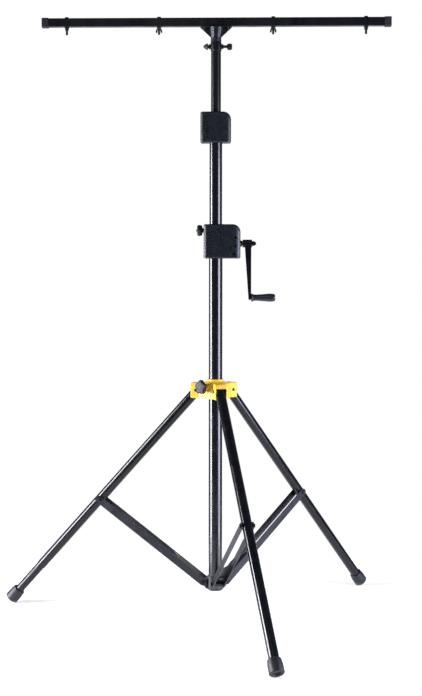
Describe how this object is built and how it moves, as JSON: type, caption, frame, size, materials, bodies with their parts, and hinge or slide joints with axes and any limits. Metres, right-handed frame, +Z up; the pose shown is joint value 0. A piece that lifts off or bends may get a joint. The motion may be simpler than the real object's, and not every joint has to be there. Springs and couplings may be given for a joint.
{
  "type": "light stand",
  "caption": "Wind-up tripod light stand with telescopic mast, hand winch, folding braced legs, levelling leg and a cross bar for lamps.",
  "frame": {"origin": "middle of the whole stand's box at floor level; the mast axis stands beside it", "axes": "+Z up along the mast, +X along the cross bar towards the crank side, +Y away from the front leg's side"},
  "size_m": [1.3938, 1.3631, 2.1315],
  "materials": {
    "base_hub": "fine-grained black moulding",
    "hub_bolt_front": "blackened steel",
    "hub_bolt_right": "blackened steel",
    "hub_bolt_left": "blackened steel",
    "lower_tube": "gloss black paint",
    "leg_collar": "golden yellow casting",
    "leg_pin_front": "blackened steel",
    "leg_pin_right": "blackened steel",
    "leg_pin_left": "blackened steel",
    "collar_liner": "natural nylon",
    "collar_knob": "fine-grained black moulding",
    "leg_front": "gloss black paint",
    "foot_front": "matt black rubber",
    "brace_front": "gloss black paint",
    "leg_right": "gloss black paint",
    "foot_right": "matt black rubber",
    "brace_right": "gloss black paint",
    "leg_left": "gloss black paint",
    "levelling_tube": "gloss black paint",
    "foot_left": "matt black rubber",
    "brace_left": "gloss black paint",
    "winch_guide_bush": "natural nylon",
    "winch_housing_front": "fine-grained black moulding",
    "winch_housing_rear": "fine-grained black moulding",
    "winch_bush_left": "plain turned brass",
    "winch_bush_right": "plain turned brass",
    "brake_pawl": "zinc-plated steel",
    "tube_lock_knob": "fine-grained black moulding",
    "crank_shaft": "zinc-plated steel",
    "cable_drum": "zinc-plated steel",
    "ratchet_wheel": "zinc-plated steel",
    "crank_arm": "gloss black paint",
    "crank_nut": "blackened steel",
    "crank_grip": "matt black rubber",
    "grip_spindle": "zinc-plated steel",
    "middle_tube": "gloss black paint",
    "middle_tube_foot": "natural nylon",
    "pulley_guide_bush": "natural nylon",
    "pulley_housing_front": "fine-grained black moulding",
    "pulley_housing_rear": "fine-grained black moulding",
    "pulley_axle": "zinc-plated steel",
    "cable_pulley": "natural nylon",
    "top_tube": "gloss black paint",
    "top_tube_foot": "natural nylon",
    "head_receptacle": "gloss black paint",
    "head_clamp_knob": "fine-grained black moulding",
    "safety_pin": "fine-grained black moulding",
    "spigot": "zinc-plated steel",
    "bar_bracket": "fine-grained black moulding",
    "cross_bar": "gloss black paint",
    "yoke_bolt_1": "blackened steel",
    "yoke_bolt_2": "blackened steel",
    "yoke_bolt_3": "blackened steel",
    "yoke_bolt_4": "blackened steel",
    "bar_end_cap_left": "fine-grained black moulding",
    "bar_end_cap_right": "fine-grained black moulding",
    "wing_nut_1": "blackened steel",
    "wing_nut_2": "blackened steel",
    "wing_nut_3": "blackened steel",
    "wing_nut_4": "blackened steel"
  },
  "bodies": {
    "mast": {"base_hub": "base_hub", "hub_bolt_front": "hub_bolt_front", "hub_bolt_right": "hub_bolt_right", "hub_bolt_left": "hub_bolt_left", "lower_tube": "lower_tube", "winch_housing_front": "winch_housing_front", "winch_housing_rear": "winch_housing_rear", "winch_guide_bush": "winch_guide_bush", "winch_bush_left": "winch_bush_left", "winch_bush_right": "winch_bush_right", "brake_pawl": "brake_pawl"},
    "collar": {"leg_collar": "leg_collar", "leg_pin_front": "leg_pin_front", "leg_pin_right": "leg_pin_right", "leg_pin_left": "leg_pin_left", "collar_liner": "collar_liner"},
    "collar_lock": {"collar_knob": "collar_knob"},
    "front_leg": {"leg_front": "leg_front", "foot_front": "foot_front"},
    "right_leg": {"leg_right": "leg_right", "foot_right": "foot_right"},
    "left_leg": {"leg_left": "leg_left"},
    "levelling_leg": {"levelling_tube": "levelling_tube", "foot_left": "foot_left"},
    "front_brace": {"brace_front": "brace_front"},
    "right_brace": {"brace_right": "brace_right"},
    "left_brace": {"brace_left": "brace_left"},
    "tube_lock": {"tube_lock_knob": "tube_lock_knob"},
    "crank": {"crank_shaft": "crank_shaft", "cable_drum": "cable_drum", "ratchet_wheel": "ratchet_wheel", "crank_arm": "crank_arm", "crank_nut": "crank_nut", "grip_spindle": "grip_spindle"},
    "grip": {"crank_grip": "crank_grip"},
    "middle_stage": {"middle_tube": "middle_tube", "middle_tube_foot": "middle_tube_foot", "pulley_housing_front": "pulley_housing_front", "pulley_housing_rear": "pulley_housing_rear", "pulley_guide_bush": "pulley_guide_bush", "pulley_axle": "pulley_axle"},
    "pulley": {"cable_pulley": "cable_pulley"},
    "top_stage": {"top_tube": "top_tube", "top_tube_foot": "top_tube_foot", "head_receptacle": "head_receptacle"},
    "head_lock": {"head_clamp_knob": "head_clamp_knob"},
    "head_pin": {"safety_pin": "safety_pin"},
    "head": {"spigot": "spigot", "bar_bracket": "bar_bracket", "cross_bar": "cross_bar", "bar_end_cap_left": "bar_end_cap_left", "bar_end_cap_right": "bar_end_cap_right", "yoke_bolt_1": "yoke_bolt_1", "yoke_bolt_2": "yoke_bolt_2", "yoke_bolt_3": "yoke_bolt_3", "yoke_bolt_4": "yoke_bolt_4"},
    "nut_1": {"wing_nut_1": "wing_nut_1"},
    "nut_2": {"wing_nut_2": "wing_nut_2"},
    "nut_3": {"wing_nut_3": "wing_nut_3"},
    "nut_4": {"wing_nut_4": "wing_nut_4"}
  },
  "joints": [
    {"name": "collar_slide", "type": "slide", "parent": "mast", "child": "collar", "axis": [0, 0, 1], "range_m": [0, 0.34763]},
    {"name": "front_leg_fold", "type": "hinge", "parent": "collar", "child": "front_leg", "pos_m": [0.10217, 0.04371, 0.819], "axis": [0.9707, 0.2402, 0], "range_deg": [0, 40.2]},
    {"name": "right_leg_fold", "type": "hinge", "parent": "collar", "child": "right_leg", "pos_m": [0.13435, 0.15521, 0.819], "axis": [-0.6934, 0.7206, 0], "range_deg": [0, 40.2]},
    {"name": "left_leg_fold", "type": "hinge", "parent": "collar", "child": "left_leg", "pos_m": [0.0217, 0.12733, 0.819], "axis": [-0.2773, -0.9608, 0], "range_deg": [0, 40.2]},
    {"name": "front_brace_fold", "type": "hinge", "parent": "mast", "child": "front_brace", "pos_m": [0.09568, 0.06993, 0.13], "axis": [-0.9707, -0.2402, 0], "range_deg": [0, 49.46]},
    {"name": "right_brace_fold", "type": "hinge", "parent": "mast", "child": "right_brace", "pos_m": [0.11489, 0.13649, 0.13], "axis": [0.6934, -0.7206, 0], "range_deg": [0, 49.46]},
    {"name": "left_brace_fold", "type": "hinge", "parent": "mast", "child": "left_brace", "pos_m": [0.04764, 0.11985, 0.13], "axis": [0.2773, 0.9608, 0], "range_deg": [0, 49.46]},
    {"name": "levelling_slide", "type": "slide", "parent": "left_leg", "child": "levelling_leg", "axis": [-0.6454, 0.1863, -0.7408], "range_m": [-0.128, 0.12]},
    {"name": "middle_slide", "type": "slide", "parent": "mast", "child": "middle_stage", "axis": [0, 0, 1], "range_m": [-0.2, 0.6]},
    {"name": "top_slide", "type": "slide", "parent": "middle_stage", "child": "top_stage", "axis": [0, 0, 1], "range_m": [-0.2, 0.6]},
    {"name": "crank_spin", "type": "hinge", "parent": "mast", "child": "crank", "pos_m": [0.08607, 0.10875, 1.339], "axis": [1, 0, 0], "range_deg": [-572.97, 1718.88]},
    {"name": "grip_spin", "type": "hinge", "parent": "crank", "child": "grip", "pos_m": [0.21177, 0.10875, 1.148], "axis": [1, 0, 0], "continuous": true},
    {"name": "pulley_spin", "type": "hinge", "parent": "middle_stage", "child": "pulley", "pos_m": [0.12057, 0.10875, 1.749], "axis": [0, 1, 0], "range_deg": [-954.94, 2864.8]},
    {"name": "tube_lock_turn", "type": "hinge", "parent": "mast", "child": "tube_lock", "pos_m": [0.04307, 0.10875, 1.385], "axis": [-1, 0, 0], "range_deg": [0, 720]},
    {"name": "collar_knob_turn", "type": "hinge", "parent": "collar", "child": "collar_lock", "pos_m": [0.04788, 0.072, 0.833], "axis": [-0.7206, -0.6934, 0], "range_deg": [0, 720]},
    {"name": "head_knob_turn", "type": "hinge", "parent": "top_stage", "child": "head_lock", "pos_m": [0.11207, 0.10875, 2.02775], "axis": [1, 0, 0], "range_deg": [0, 720]},
    {"name": "safety_pin_pull", "type": "slide", "parent": "top_stage", "child": "head_pin", "axis": [-1, 0, 0], "range_m": [0, 0.006], "stiffness_N_per_m": 600, "springref_m": -0.004},
    {"name": "head_swivel", "type": "hinge", "parent": "top_stage", "child": "head", "pos_m": [0.08607, 0.10875, 2.05], "axis": [0, 0, 1], "continuous": true},
    {"name": "wing_nut_1_spin", "type": "hinge", "parent": "head", "child": "nut_1", "pos_m": [-0.43793, 0.10875, 2.089], "axis": [0, 0, 1], "continuous": true},
    {"name": "wing_nut_2_spin", "type": "hinge", "parent": "head", "child": "nut_2", "pos_m": [-0.11393, 0.10875, 2.089], "axis": [0, 0, 1], "continuous": true},
    {"name": "wing_nut_3_spin", "type": "hinge", "parent": "head", "child": "nut_3", "pos_m": [0.28607, 0.10875, 2.089], "axis": [0, 0, 1], "continuous": true},
    {"name": "wing_nut_4_spin", "type": "hinge", "parent": "head", "child": "nut_4", "pos_m": [0.61007, 0.10875, 2.089], "axis": [0, 0, 1], "continuous": true}
  ],
  "couplings": [
    {"joint": "front_leg_fold", "follows": "collar_slide", "rad_per_m": 2.0183},
    {"joint": "right_leg_fold", "follows": "collar_slide", "rad_per_m": 2.0183},
    {"joint": "left_leg_fold", "follows": "collar_slide", "rad_per_m": 2.0183},
    {"joint": "front_brace_fold", "follows": "collar_slide", "rad_per_m": 2.4834},
    {"joint": "right_brace_fold", "follows": "collar_slide", "rad_per_m": 2.4834},
    {"joint": "left_brace_fold", "follows": "collar_slide", "rad_per_m": 2.4834},
    {"joint": "top_slide", "follows": "middle_slide", "ratio": 1},
    {"joint": "crank_spin", "follows": "middle_slide", "rad_per_m": 50},
    {"joint": "pulley_spin", "follows": "middle_slide", "rad_per_m": 83.333}
  ]
}
